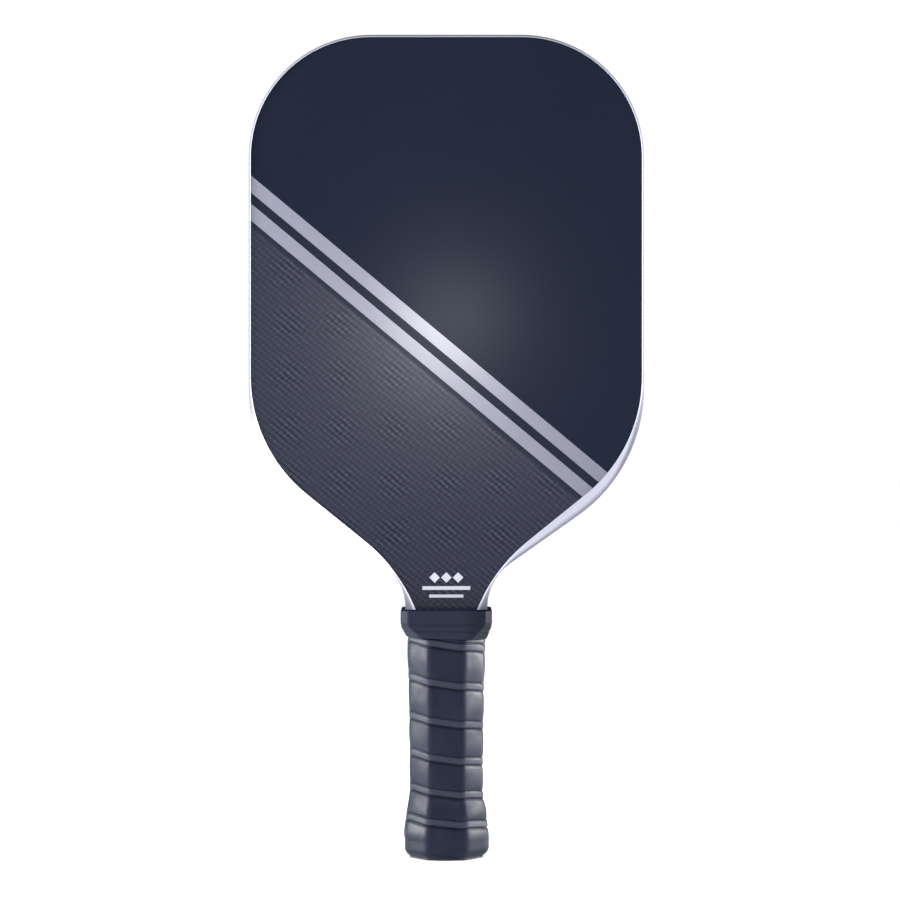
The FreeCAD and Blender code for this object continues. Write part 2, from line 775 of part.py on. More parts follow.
def grip_collar():
    """
    Rubber collar: sleeve over the wrap's end, with a slot that the head comes out of. Its top is
    nearly square; below the shoulder it narrows to the grip's octagon.
    """
    body = new_body("grip_collar")
    square = octagon_corners(DIMS.collar_half_width, DIMS.collar_half_depth, DIMS.collar_bevel)
    straight = new_sketch(body, "collar", "XY_Plane", DIMS.collar_shoulder)
    polygon(straight, square)
    ring = pad(body, straight, DIMS.collar_top - DIMS.collar_shoulder)

    def on_top(edge):
        return edge.BoundBox.ZMin > DIMS.collar_top.value - TINY

    fillet(body, ring, on_top, DIMS.collar_round)
    foot = octagon_sketch(body, "collar_foot", DIMS.collar_bottom, DIMS.collar_foot_grow)
    shoulder = new_sketch(body, "collar_shoulder", "XY_Plane", DIMS.collar_shoulder)
    polygon(shoulder, square)
    flat_loft(body, "collar_taper", [foot, shoulder], "PartDesign::AdditiveLoft")
    octagon_loft(body, "collar_mouth", [
        (DIMS.collar_bottom, DIMS.collar_mouth_grow),
        (DIMS.collar_mouth_top, DIMS.collar_bore_grow),
    ], "PartDesign::SubtractiveLoft")
    bore = octagon_sketch(body, "collar_bore", DIMS.collar_bottom, DIMS.collar_bore_grow)
    pocket(body, bore, DIMS.handle_top - DIMS.collar_bottom, reverse=True)
    slot = new_sketch(body, "collar_slot", "XY_Plane", DIMS.handle_top - DIMS.cut_lap)
    wide = DIMS.guard_neck_half + DIMS.collar_gap
    deep = DIMS.guard_depth / 2 + DIMS.collar_gap
    polygon(slot, [(-wide, -deep), (wide, -deep), (wide, deep), (-wide, deep)])
    pocket(body, slot, DIMS.collar_top, reverse=True)
    return body


# ---- build, check and write --------------------------------------------------------------------


def build():
    pieces = [honeycomb_core()]
    for side in ("front", "back"):
        pieces.append(blank_layer(side, "bond", f"{side}_bond_film"))
        pieces.append(blank_layer(side, "skin", f"{side}_face_skin"))
        for name, low, high in PRINTED_BANDS:
            pieces.append(print_area(side, f"{side}_{name}", low, high))
        pieces.append(throat_mark(side))
        pieces.append(handle_half(side))
    pieces += [edge_guard(), butt_cap(), butt_staples(), butt_badge()]
    pieces += [grip_wrap(), finishing_tape(), grip_collar()]
    doc.recompute()
    return pieces


def check(pieces):
    for item in doc.Objects:
        if "Invalid" in item.State or "Error" in item.State:
            raise RuntimeError(f"{item.Name} is {item.State}")
    for piece in pieces:
        if piece.Shape.isNull() or not piece.Shape.isValid() or not piece.Shape.Solids:
            raise RuntimeError(f"{piece.Label} has no valid solid")


def write(pieces):
    os.makedirs("parts", exist_ok=True)
    for piece in pieces:
        piece.Shape.exportStep(f"parts/{piece.Label}.step")
        box = piece.Shape.BoundBox
        print(f"{piece.Label}: {len(piece.Shape.Solids)} solid(s), {piece.Shape.Volume:.1f} mm3, "
              f"{box.XLength:.2f} x {box.YLength:.2f} x {box.ZLength:.2f}")


paddle = build()
check(paddle)
write(paddle)
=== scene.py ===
import math

import bpy
import numpy as np
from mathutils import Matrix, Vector


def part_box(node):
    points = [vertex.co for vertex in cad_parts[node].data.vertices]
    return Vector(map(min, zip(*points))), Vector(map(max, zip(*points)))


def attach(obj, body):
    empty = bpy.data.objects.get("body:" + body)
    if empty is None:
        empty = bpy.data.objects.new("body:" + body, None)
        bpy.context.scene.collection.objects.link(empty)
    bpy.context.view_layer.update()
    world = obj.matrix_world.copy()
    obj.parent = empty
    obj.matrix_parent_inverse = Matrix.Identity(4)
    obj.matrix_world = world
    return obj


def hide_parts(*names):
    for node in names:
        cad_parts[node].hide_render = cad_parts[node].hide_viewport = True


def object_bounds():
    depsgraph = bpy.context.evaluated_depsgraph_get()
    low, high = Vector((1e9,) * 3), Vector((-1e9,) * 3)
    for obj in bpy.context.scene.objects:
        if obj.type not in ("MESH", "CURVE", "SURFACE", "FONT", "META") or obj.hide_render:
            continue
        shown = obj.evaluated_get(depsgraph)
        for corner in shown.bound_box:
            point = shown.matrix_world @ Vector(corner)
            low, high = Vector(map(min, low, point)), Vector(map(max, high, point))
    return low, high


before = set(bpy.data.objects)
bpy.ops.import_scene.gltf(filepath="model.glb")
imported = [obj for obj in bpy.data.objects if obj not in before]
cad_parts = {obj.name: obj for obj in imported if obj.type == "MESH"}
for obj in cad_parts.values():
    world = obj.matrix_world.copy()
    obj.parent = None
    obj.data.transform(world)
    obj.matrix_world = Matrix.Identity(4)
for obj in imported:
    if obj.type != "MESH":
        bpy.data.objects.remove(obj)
cad_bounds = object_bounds()

# Pickleball paddle, in metres, in the frame's own axes: +Z up the handle, front face towards -Y.

MM = 0.001


# ---- node graphs -------------------------------------------------------------------------------


class Graph:
    """One material and short calls that add its nodes."""

    def __init__(self, name):
        self.material = bpy.data.materials.new(name)
        self.material.use_nodes = True
        self.tree = self.material.node_tree
        self.tree.nodes.clear()
        self.shader = self.add("ShaderNodeBsdfPrincipled")
        output = self.add("ShaderNodeOutputMaterial")
        self.tree.links.new(self.shader.outputs["BSDF"], output.inputs["Surface"])
        coordinates = self.add("ShaderNodeTexCoord")
        self.place = coordinates.outputs["Object"]
        self.x, self.y, self.z = self.split(self.place)
        self.normal = coordinates.outputs["Normal"]

    def add(self, kind):
        return self.tree.nodes.new(kind)

    def split(self, vector):
        """The three parts of a vector."""
        node = self.add("ShaderNodeSeparateXYZ")
        self.tree.links.new(vector, node.inputs["Vector"])
        return node.outputs["X"], node.outputs["Y"], node.outputs["Z"]

    def feed(self, socket, value):
        """Gives a socket a constant or links another socket to it."""
        if isinstance(value, bpy.types.NodeSocket):
            self.tree.links.new(value, socket)
        else:
            socket.default_value = value

    def math(self, operation, *values):
        node = self.add("ShaderNodeMath")
        node.operation = operation
        for socket, value in zip(node.inputs, values):
            self.feed(socket, value)
        return node.outputs["Value"]

    def blend(self, factor, low, high):
        """A colour between two colours."""
        node = self.add("ShaderNodeMix")
        node.data_type = "RGBA"
        self.feed(node.inputs["Factor"], factor)
        self.feed(node.inputs["A"], rgba(low))
        self.feed(node.inputs["B"], rgba(high))
        return node.outputs["Result"]

    def ranged(self, value, low, high, new_low, new_high):
        """The value, mapped from one range to another and clamped to its ends."""
        node = self.add("ShaderNodeMapRange")
        for name, number in (("Value", value), ("From Min", low), ("From Max", high),
                             ("To Min", new_low), ("To Max", new_high)):
            self.feed(node.inputs[name], number)
        return node.outputs["Result"]

    def stretched(self, scale):
        """The place, scaled differently along each axis."""
        node = self.add("ShaderNodeMapping")
        self.feed(node.inputs["Vector"], self.place)
        node.inputs["Scale"].default_value = scale
        return node.outputs["Vector"]

    def noise(self, scale, detail=3.0, roughness=0.5, place=None):
        node = self.add("ShaderNodeTexNoise")
        self.feed(node.inputs["Vector"], place or self.place)
        node.inputs["Scale"].default_value = scale
        node.inputs["Detail"].default_value = detail
        node.inputs["Roughness"].default_value = roughness
        return node.outputs["Fac"]

    def cells(self, scale):
        """Distance to the nearest of scattered points."""
        node = self.add("ShaderNodeTexVoronoi")
        self.feed(node.inputs["Vector"], self.place)
        node.inputs["Scale"].default_value = scale
        return node.outputs["Distance"]

    def carried(self, name):
        """A number that the mesh carries at each point."""
        node = self.add("ShaderNodeAttribute")
        node.attribute_name = name
        return node.outputs["Fac"]

    def bump(self, height, strength, distance):
        node = self.add("ShaderNodeBump")
        node.inputs["Strength"].default_value = strength
        node.inputs["Distance"].default_value = distance
        self.feed(node.inputs["Height"], height)
        self.feed(self.shader.inputs["Normal"], node.outputs["Normal"])

    def set(self, **values):
        """Shader inputs by name, with underscores for spaces."""
        for name, value in values.items():
            self.feed(self.shader.inputs[name.replace("_", " ")], value)


def rgba(value):
    """A colour socket as it is, or a colour with its alpha added."""
    if isinstance(value, bpy.types.NodeSocket):
        return value
    return (*value, 1.0)


# ---- materials ---------------------------------------------------------------------------------


def satin_film(name, lift=0.0, shine=0.055):
    """
    Printed film over the smooth skin: dark slate blue with a faint orange peel. The lift makes it
    paler.
    """
    g = Graph(name)
    cloud = g.noise(11, 2)
    grain = g.noise(1800, 2, 0.6)
    g.set(Base_Color=g.blend(cloud, (0.0060 + lift, 0.0098 + lift, 0.0215 + lift),
                             (0.0090 + lift, 0.0130 + lift, 0.0260 + lift)))
    g.set(Roughness=g.ranged(grain, 0.3, 0.7, 0.165, 0.205))
    g.set(Specular_IOR_Level=shine)
    g.bump(grain, 0.08, 0.05 * MM)
    return g.material


TOW_PITCH = 0.909 * MM
TWILL_TURN = math.radians(5.2)


def twill(g):
    """
    2/2 twill, turned a little from square. Returns the cloth's height, 1 where the warp lies on
    top, and a streak along the fibres.
    """
    along, aside = math.cos(TWILL_TURN) / TOW_PITCH, math.sin(TWILL_TURN) / TOW_PITCH
    u = g.math("ADD", g.math("MULTIPLY", g.x, along), g.math("MULTIPLY", g.z, aside))
    v = g.math("ADD", g.math("MULTIPLY", g.x, -aside), g.math("MULTIPLY", g.z, along))
    step = g.math("FLOORED_MODULO", g.math("ADD", g.math("FLOOR", u), g.math("FLOOR", v)), 4.0)
    warp_up = g.math("LESS_THAN", step, 1.5)
    in_u = g.math("FRACT", u)
    in_v = g.math("FRACT", v)
    along_warp = g.math("MULTIPLY", g.math("ADD", step, in_v), 0.5)
    along_weft = g.math("MULTIPLY", g.math("ADD", g.math("SUBTRACT", step, 2.0), in_u), 0.5)

    def tow(position_across, position_along):
        """Height of a tow that arches across its width and along its float."""
        crown = g.math("SINE", g.math("MULTIPLY", position_across, math.pi))
        float_arc = g.math("SINE", g.math("MULTIPLY", position_along, math.pi))
        return g.math("MULTIPLY", g.math("POWER", crown, 0.6),
                      g.math("MULTIPLY_ADD", float_arc, 0.45, 0.55))

    warp = tow(in_u, along_warp)
    weft = tow(in_v, along_weft)
    height = g.math("ADD", g.math("MULTIPLY", warp, warp_up),
                    g.math("MULTIPLY", weft, g.math("SUBTRACT", 1.0, warp_up)))
    warp_streak = g.noise(1.0, 2, 0.6, g.stretched((9000, 1, 500)))
    weft_streak = g.noise(1.0, 2, 0.6, g.stretched((500, 1, 9000)))
    streak = g.math("ADD", g.math("MULTIPLY", warp_streak, warp_up),
                    g.math("MULTIPLY", weft_streak, g.math("SUBTRACT", 1.0, warp_up)))
    return height, warp_up, streak


# The cloth as it shows through the film. Each set of lines has a pitch, a lean from level, down to
# the right, in degrees, and a weight: the ribs, the rows of floats that cross them, two fainter
# sets that lean alike to either side, and a broad unevenness.
CLOTH_LINES = [
    (2.5 * MM, 40, 0.95),
    (2.0 * MM, -30, 0.36),
    (3.0 * MM, 58, 0.24),
    (3.0 * MM, -58, 0.24),
    (5.8 * MM, 20, 0.15),
]
# They show most in soft patches on a square grid, and less between them.
PATCH_PITCH = 26 * MM
PATCH_LIFT = 4 * MM
PATCH_CONTRAST = 0.95
PLAIN_CONTRAST = 0.45
# Heights between which the ground darkens down to the throat, a painted shade.
GROUND_SHADED, GROUND_UNSHADED = 125 * MM, 190 * MM


def weave_film(side):
    """The part of the film where the cloth shows: pale floats over a darker ground."""
    g = Graph(f"weave_film_{side}")
    across = g.x if side == "front" else g.math("MULTIPLY", g.x, -1.0)

    def wave(along_x, along_z, lift=0.0):
        """Sine of a phase that grows by the given rates along X and Z."""
        phase = g.math("MULTIPLY_ADD", across, along_x, g.math("MULTIPLY", g.z, along_z))
        return g.math("SINE", g.math("ADD", phase, lift))

    relief = 0.0
    for pitch, lean, weight in CLOTH_LINES:
        rate = 2 * math.pi / pitch
        lean = math.radians(lean)
        line = wave(rate * math.sin(lean), rate * math.cos(lean))
        relief = g.math("MULTIPLY_ADD", line, weight, relief)
    turn = 2 * math.pi / PATCH_PITCH
    column = g.math("MULTIPLY_ADD", wave(turn, 0.0, math.pi / 2), 0.5, 0.5)
    row = g.math("MULTIPLY_ADD", wave(0.0, turn, math.pi / 2 - turn * PATCH_LIFT), 0.5, 0.5)
    patch = g.math("MULTIPLY_ADD", g.math("MULTIPLY", column, row), PATCH_CONTRAST,
                   PLAIN_CONTRAST)
    # the floats stand out as pale dots more than the gaps do as dark ones
    relief = g.math("MULTIPLY_ADD", g.math("MULTIPLY", relief, relief), 0.28,
                    g.math("SUBTRACT", relief, 0.15))
    fibre = g.noise(1.0, 2, 0.6, g.stretched((9000, 1, 700)))
    # painted shade: the ground darkens down to the throat
    ground = g.ranged(g.z, GROUND_SHADED, GROUND_UNSHADED, 0.17, 0.28)
    ground = g.math("MULTIPLY_ADD", fibre, 0.16, ground)
    tone = g.math("MULTIPLY_ADD", g.math("MULTIPLY", relief, patch), 0.25, ground)
    g.set(Base_Color=g.blend(tone, (0.0030, 0.0050, 0.0180), (0.0300, 0.0340, 0.0570)))
    g.set(Specular_IOR_Level=g.ranged(tone, 0.0, 1.0, 0.20, 0.38))
    g.set(Roughness=g.ranged(fibre, 0.3, 0.7, 0.24, 0.20))
    g.bump(relief, 0.05, 0.05 * MM)
    return g.material


# Where the stripes begin to darken towards the right, a painted shade, and where they are darkest.
STRIPE_SHADE = (25 * MM, 75 * MM)


def silver_ink():
    """Silver ink of the stripes, with a fine flake."""
    g = Graph("silver_ink")
    flake = g.noise(5200, 1, 0.5)
    cloud = g.noise(30, 2)
    tone = g.math("MULTIPLY_ADD", flake, 0.7, g.math("MULTIPLY", cloud, 0.3))
    # painted shade: the stripes darken towards the right
    tone = g.math("SUBTRACT", tone, g.ranged(g.x, *STRIPE_SHADE, 0.0, 0.5))
    g.set(Base_Color=g.blend(tone, (0.160, 0.165, 0.220), (0.232, 0.238, 0.303)))
    g.set(Metallic=0.04)
    g.set(Specular_IOR_Level=0.38, Specular_Tint=(1.0, 0.99, 0.85, 1.0))
    g.set(Roughness=g.ranged(flake, 0.3, 0.7, 0.158, 0.194))
    g.bump(flake, 0.06, 0.03 * MM)
    return g.material


def mark_ink():
    """Pale ink of the throat mark, thin enough to let a little of the cloth through."""
    g = Graph("mark_ink")
    mottle = g.noise(2600, 2)
    g.set(Base_Color=g.blend(mottle, (0.36, 0.37, 0.44), (0.50, 0.51, 0.58)))
    g.set(Roughness=g.ranged(mottle, 0.3, 0.7, 0.40, 0.55))
    g.bump(mottle, 0.12, 0.04 * MM)
    return g.material


# The guard's rounded lips, and how softly their own tone passes into the greyer wall, a painted
# shade. Above the shoulder and at the neck the painted shade reaches further onto the lips.
LIP_DEPTH = 1.5 * MM
SHADE_FADE = 0.6 * MM
SHOULDER_HEIGHTS, SHOULDER_REACH = (185 * MM, 212 * MM), 0.8 * MM
NECK_HEIGHTS, NECK_REACH = (130 * MM, 155 * MM), 0.6 * MM
# Heights between which the front lip on the left turns nearly white, a painted highlight, and back
# again.
LIT_LIP_START, LIT_LIP_END = (139 * MM, 145 * MM), (196 * MM, 222 * MM)
LIT_LIP_FADE = 0.3 * MM


def guard_plastic():
    """
    Moulded plastic: its lips pale lavender, its outer wall a greyer tone that is painted shade.
    The lip on the lower left is nearly white, a painted highlight.
    """
    g = Graph("guard_plastic")
    low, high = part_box("edge_guard")
    lip = (high.y - low.y) / 2 - LIP_DEPTH
    cloud = g.noise(22, 3)
    scuff = g.noise(900, 4, 0.7)
    depth = g.math("ABSOLUTE", g.y)
    spread = g.math("ADD", g.ranged(g.z, *SHOULDER_HEIGHTS, 0.0, SHOULDER_REACH),
                    g.ranged(g.z, *NECK_HEIGHTS, NECK_REACH, 0.0))
    # painted shade: the outer wall and the lips' rounded edges get a greyer tone
    wear_and_shade = g.ranged(g.math("SUBTRACT", depth, spread), lip, lip + SHADE_FADE, 1.0, 0.0)
    # painted highlight: the front lip on the lower left is made nearly white, and the wall under
    # it paler
    white = g.math("MULTIPLY", g.ranged(g.z, *LIT_LIP_START, 0.0, 1.0),
                   g.ranged(g.z, *LIT_LIP_END, 1.0, 0.0))
    white = g.math("MULTIPLY", white, g.math("LESS_THAN", g.x, 0.0))
    white = g.math("MULTIPLY", white,
                   g.ranged(g.y, -lip - LIT_LIP_FADE, -lip + LIT_LIP_FADE, 1.0, 0.0))
    lip_tone = g.blend(cloud, (0.365, 0.375, 0.450), (0.400, 0.410, 0.480))
    lip_tone = g.blend(white, lip_tone, (0.900, 0.900, 0.910))
    # the greyer tone of the wall is painted shade
    grey = g.blend(cloud, (0.140, 0.147, 0.183), (0.165, 0.172, 0.208))
    grey = g.blend(white, grey, (0.800, 0.800, 0.820))
    g.set(Base_Color=g.blend(wear_and_shade, lip_tone, grey))
    g.set(Roughness=g.ranged(scuff, 0.3, 0.75, 0.36, 0.52))
    g.set(Specular_IOR_Level=g.ranged(wear_and_shade, 0.0, 1.0, 0.22, 0.08))
    g.bump(scuff, 0.06, 0.05 * MM)
    return g.material


# Where the collar begins to darken towards the right, a painted shade, and where it is darkest.
COLLAR_SHADE = (7 * MM, 17 * MM)


def collar_rubber():
    """Satin rubber with a fine moulded grain, painted shade in its grooves, matt on its flat top.
    """
    g = Graph("collar_rubber")
    grain = g.noise(2400, 3, 0.6)
    cloud = g.noise(60, 3)
    plain = g.blend(cloud, (0.0095, 0.0132, 0.0265), (0.0140, 0.0178, 0.0315))
    # painted shade: the collar darkens towards the right
    plain = g.blend(g.ranged(g.x, *COLLAR_SHADE, 0.0, 0.70), plain, (0.0030, 0.0050, 0.0120))
    # painted shade: the grooves, carried as creases, are darkened
    g.set(Base_Color=g.blend(g.carried("crease"), plain, (0.004, 0.006, 0.012)))
    g.set(Roughness=g.ranged(grain, 0.3, 0.7, 0.44, 0.56))
    upward = g.split(g.normal)[2]
    g.set(Specular_IOR_Level=g.ranged(upward, 0.4, 0.9, 0.10, 0.0))
    g.bump(grain, 0.20, 0.05 * MM)
    return g.material


# The wrap shines most at its foot and least on the flare, and more on the handle's slanted sides
# than on its flats, which end at the given distance from the middle line.
FOOT_SHINE, FLARE_SHINE, SHAFT_SHINE = 1.32, 0.88, 1.06
FOOT_TO_FLARE, FLARE_TO_SHAFT = (12 * MM, 20 * MM), (30 * MM, 38 * MM)
FLAT_SHINE = 0.84
FLAT_EDGE = (9 * MM, 12 * MM)


def wrap_leather():
    """Soft synthetic leather of the grip wrap: pebbled grain, paler on its laps, painted shade in
    its creases.
    """
    g = Graph("wrap_leather")
    pebble = g.cells(1500)
    fine = g.noise(4200, 2, 0.6)
    wear_and_shade = g.noise(85, 3, 0.55)
    height = g.math("MULTIPLY_ADD", pebble, 0.8, g.math("MULTIPLY", fine, 0.35))
    plain = g.blend(wear_and_shade, (0.0010, 0.0034, 0.0155), (0.0030, 0.0060, 0.0195))
    # the laps are a paler tone
    paler_laps = g.blend(g.math("MULTIPLY", g.carried("lap"), 0.4), plain, (0.045, 0.049, 0.072))
    # painted shade: the creases are darkened
    g.set(Base_Color=g.blend(g.carried("crease"), paler_laps, (0.003, 0.005, 0.010)))
    g.set(Roughness=g.ranged(wear_and_shade, 0.35, 0.65, 0.35, 0.51))
    polish = g.math("ADD", g.ranged(g.z, *FOOT_TO_FLARE, FOOT_SHINE, FLARE_SHINE),
                    g.ranged(g.z, *FLARE_TO_SHAFT, 0.0, SHAFT_SHINE - FLARE_SHINE))
    slanted = g.ranged(g.math("ABSOLUTE", g.x), *FLAT_EDGE, 0.0, 1.0)
    polish = g.math("MULTIPLY_ADD", slanted, g.math("SUBTRACT", polish, FLAT_SHINE), FLAT_SHINE)
    sheen = g.math("MULTIPLY", g.ranged(wear_and_shade, 0.35, 0.65, 0.245, 0.185), polish)
    g.set(Specular_IOR_Level=g.math("MULTIPLY_ADD", g.carried("crease"), -0.12, sheen))
    g.bump(height, 0.18, 0.06 * MM)
    return g.material


def cap_plastic():
    """Spark-textured black moulded plastic."""
    g = Graph("cap_plastic")
    spark = g.noise(3000, 3, 0.7)
    g.set(Base_Color=g.blend(spark, (0.016, 0.019, 0.028), (0.030, 0.033, 0.045)))
    g.set(Roughness=g.ranged(spark, 0.3, 0.7, 0.45, 0.60))
    g.bump(spark, 0.25, 0.06 * MM)
    return g.material


BADGE_RING_PITCH = 0.5 * MM


def badge_plastic():
    """Blank end plate, glossier than the cap, with fine turned rings."""
    g = Graph("badge_plastic")
    radius = g.math("SQRT", g.math("ADD", g.math("MULTIPLY", g.x, g.x),
                                   g.math("MULTIPLY", g.y, g.y)))
    rings = g.math("SINE", g.math("MULTIPLY", radius, 2 * math.pi / BADGE_RING_PITCH))
    haze = g.noise(140, 3)
    g.set(Base_Color=g.blend(haze, (0.030, 0.033, 0.045), (0.050, 0.054, 0.070)))
    g.set(Roughness=g.ranged(haze, 0.3, 0.7, 0.22, 0.34))
    g.bump(rings, 0.10, 0.03 * MM)
    return g.material


def carbon_skin():
    """Face skin under the film: black laminate with the twill just visible."""
    g = Graph("carbon_skin")
    height, warp_up, streak = twill(g)
    g.set(Base_Color=g.blend(warp_up, (0.012, 0.012, 0.014), (0.030, 0.030, 0.034)))
    g.set(Roughness=g.ranged(streak, 0.3, 0.7, 0.30, 0.45))
    g.bump(height, 0.25, 0.08 * MM)
    return g.material


def mottled(name, low, high, scale, rough_low, rough_high, bump, metallic=0.0):
    """A plain moulded, foamed or drawn material with its own grain; used on the inner pieces."""
    g = Graph(name)
    grain = g.noise(scale, 4, 0.6)
    g.set(Base_Color=g.blend(grain, low, high))
    g.set(Roughness=g.ranged(grain, 0.3, 0.7, rough_low, rough_high))
    g.set(Metallic=metallic)
    g.bump(grain, bump, 0.08 * MM)
    return g.material


def paint(node, material):
    """Makes this the only material of a CAD node."""
    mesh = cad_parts[node].data
    mesh.materials.clear()
    mesh.materials.append(material)


def paint_all():
    satin = satin_film("satin_film")
    gap_film = satin_film("gap_film", 0.0027, 0.062)
    line_film = satin_film("line_film", 0.0048, 0.095)
    silver = silver_ink()
    mark = mark_ink()
    skin = carbon_skin()
    bond = mottled("bond_film", (0.42, 0.36, 0.20), (0.55, 0.48, 0.30), 300, 0.25, 0.40, 0.1)
    foam = mottled("handle_foam", (0.10, 0.10, 0.11), (0.16, 0.16, 0.17), 1500, 0.80, 0.95, 0.5)
    for side in ("front", "back"):
        paint(f"{side}_satin_panel", satin)
        paint(f"{side}_stripe_gap", gap_film)
        paint(f"{side}_pinstripe", line_film)
        for name in ("upper_stripe", "lower_stripe"):
            paint(f"{side}_{name}", silver)
        paint(f"{side}_weave_panel", weave_film(side))
        paint(f"{side}_throat_mark", mark)
        paint(f"{side}_face_skin", skin)
        paint(f"{side}_bond_film", bond)
        paint(f"handle_{side}_half", foam)
    paint("honeycomb_core", mottled("honeycomb_plastic", (0.70, 0.71, 0.73), (0.80, 0.81, 0.83),
                                    500, 0.35, 0.50, 0.2))
    paint("edge_guard", guard_plastic())
    paint("butt_cap", cap_plastic())
    paint("butt_badge", badge_plastic())
    paint("butt_cap_staples", mottled("staple_steel", (0.48, 0.48, 0.50), (0.62, 0.62, 0.64),
                                      1800, 0.25, 0.40, 0.1, metallic=1.0))
    paint("finishing_tape", mottled("tape_vinyl", (0.015, 0.015, 0.018), (0.03, 0.03, 0.034),
                                    900, 0.30, 0.45, 0.15))


# ---- rounded octagons, the section of everything on the handle ---------------------------------

FLAT_STEPS = 9
CORNER_STEPS = 6
COLUMNS = 8 * (FLAT_STEPS + CORNER_STEPS)
# A bevel grows by this share of what its octagon grows by, if all sides grow alike.
BEVEL_SHARE = 2 - math.sqrt(2)
HANDLE_BEVEL = 7.65 * MM


def octagon(wide, deep, bevel, radius):
    """
    Places and outward normals round an octagon with rounded corners, given its half width, half
    depth and bevel. The columns start on the left side (-X) and go round by the front (-Y), so
    that any two octagons can be joined column to column.
    """
    flat_x, flat_y = wide - bevel, deep - bevel
    corners = np.array([
        (-wide, -flat_y), (-flat_x, -deep), (flat_x, -deep), (wide, -flat_y),
        (wide, flat_y), (flat_x, deep), (-flat_x, deep), (-wide, flat_y),
    ])
    setback = radius * math.tan(math.radians(22.5))
    points, normals = [], []
    for index in range(8):
        here = corners[index]
        before = here - corners[index - 1]
        after = corners[(index + 1) % 8] - here
        before, after = before / np.linalg.norm(before), after / np.linalg.norm(after)
        start_normal = np.array((before[1], -before[0]))
        end_normal = np.array((after[1], -after[0]))
        centre = here - before * setback - start_normal * radius
        for step in range(CORNER_STEPS + 1):
            part = step / CORNER_STEPS
            normal = start_normal * (1 - part) + end_normal * part
            normal = normal / np.linalg.norm(normal)
            points.append(centre + normal * radius)
            normals.append(normal)
        finish = here + after * setback
        next_start = corners[(index + 1) % 8] - after * setback
        for step in range(1, FLAT_STEPS):
            points.append(finish + (next_start - finish) * step / FLAT_STEPS)
            normals.append(end_normal)
    return np.array(points), np.array(normals)


def handle_octagon(grow, corner, broader=0.0):
    """
    The section of the handle halves, measured from the frame, grown evenly and with its bevels
    made broader.
    """
    low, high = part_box("handle_front_half")
    bevel = HANDLE_BEVEL + grow * BEVEL_SHARE + broader
    radius = min(corner + max(grow, 0.0), 0.8 * bevel)
    return octagon(high.x + grow, -low.y + grow, bevel, radius)


def ring_at(points, height):
    """Places of a flat outline at a height."""
    return np.column_stack([points, np.broadcast_to(height, len(points))])


def closed_sheet(name, rings, carried, material):
    """
    A closed tube-like mesh from rings of places; the last ring joins the first. Each carried
    quantity has one number per place.
    """
    rings = np.asarray(rings)
    rows, columns, _ = rings.shape
    below = np.arange(rows * columns).reshape(rows, columns)
    above = np.roll(below, -1, axis=0)
    faces = np.stack([below, np.roll(below, -1, axis=1), np.roll(above, -1, axis=1), above],
                     axis=-1).reshape(-1, 4)
    mesh = bpy.data.meshes.new(name)
    mesh.from_pydata(rings.reshape(-1, 3).tolist(), [], faces.tolist())
    for quantity, numbers in carried.items():
        attribute = mesh.attributes.new(quantity, "FLOAT", "POINT")
        attribute.data.foreach_set("value", np.asarray(numbers, dtype=np.float32).ravel())
    mesh.materials.append(material)
    mesh.shade_smooth()
    mesh.set_sharp_from_angle(angle=math.radians(50))
    mesh.update()
    piece = bpy.data.objects.new(name, mesh)
    bpy.context.scene.collection.objects.link(piece)
    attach(piece, "root")
    return piece


def smooth_step(value):
    """Rises from 0 to 1 without a corner."""
    value = np.clip(value, 0.0, 1.0)
    return value * value * (3 - 2 * value)


# ---- grip wrap ---------------------------------------------------------------------------------

# Heights of the wrap's upper lap edge on the left side, one a turn, from under the collar down.
SEAM_HEIGHTS = np.array([129.6, 110.6, 91.2, 72.2, 54.0, 36.9, 22.3, 9.0]) * MM
LAST_SEAM = len(SEAM_HEIGHTS) - 2
PADDED_BEVEL = 1.0 * MM
PADDED_CORNER = 2.6 * MM
LAP_WIDTH = 3.9 * MM
LAP_RISE = 0.28 * MM
PANEL_CROWN = 0.42 * MM
LAP_EDGES = (0.6 * MM, 0.9 * MM)
CREASE_DEPTH = 0.36 * MM
CREASE_WIDTH = 0.50 * MM
# The laps fall less across the front than across the back; this is the part of a turn they lag.
FRONT_LAG = 0.13

# Height and growth of the wrap's outside, over the handle's own section.
WRAP_OUTSIDE = np.array([
    (4.8, 4.95), (12.0, 4.95), (17.0, 4.35), (23.0, 3.65), (27.0, 2.75), (31.0, 2.15),
    (40.0, 2.05), (80.0, 2.50), (97.0, 3.05), (107.4, 3.35), (109.6, 2.45), (118.0, 2.45),
]) * MM
WRAP_INSIDE = np.array([
    (118.0, 0.10), (28.0, 0.10), (27.0, 0.65), (8.0, 3.05), (3.0, 2.80), (1.05, 2.10),
]) * MM
FOOT_RADIUS = 4.3 * MM
FOOT_RINGS = 15
INSIDE_CORNER = 1.2 * MM
RING_STEP = 0.25 * MM
# The relief is sunk by this much, and comes in over this height from the bottom up.
RELIEF_SINK = 0.25 * MM
RELIEF_START = 5 * MM
SMOOTHING_RINGS = 23


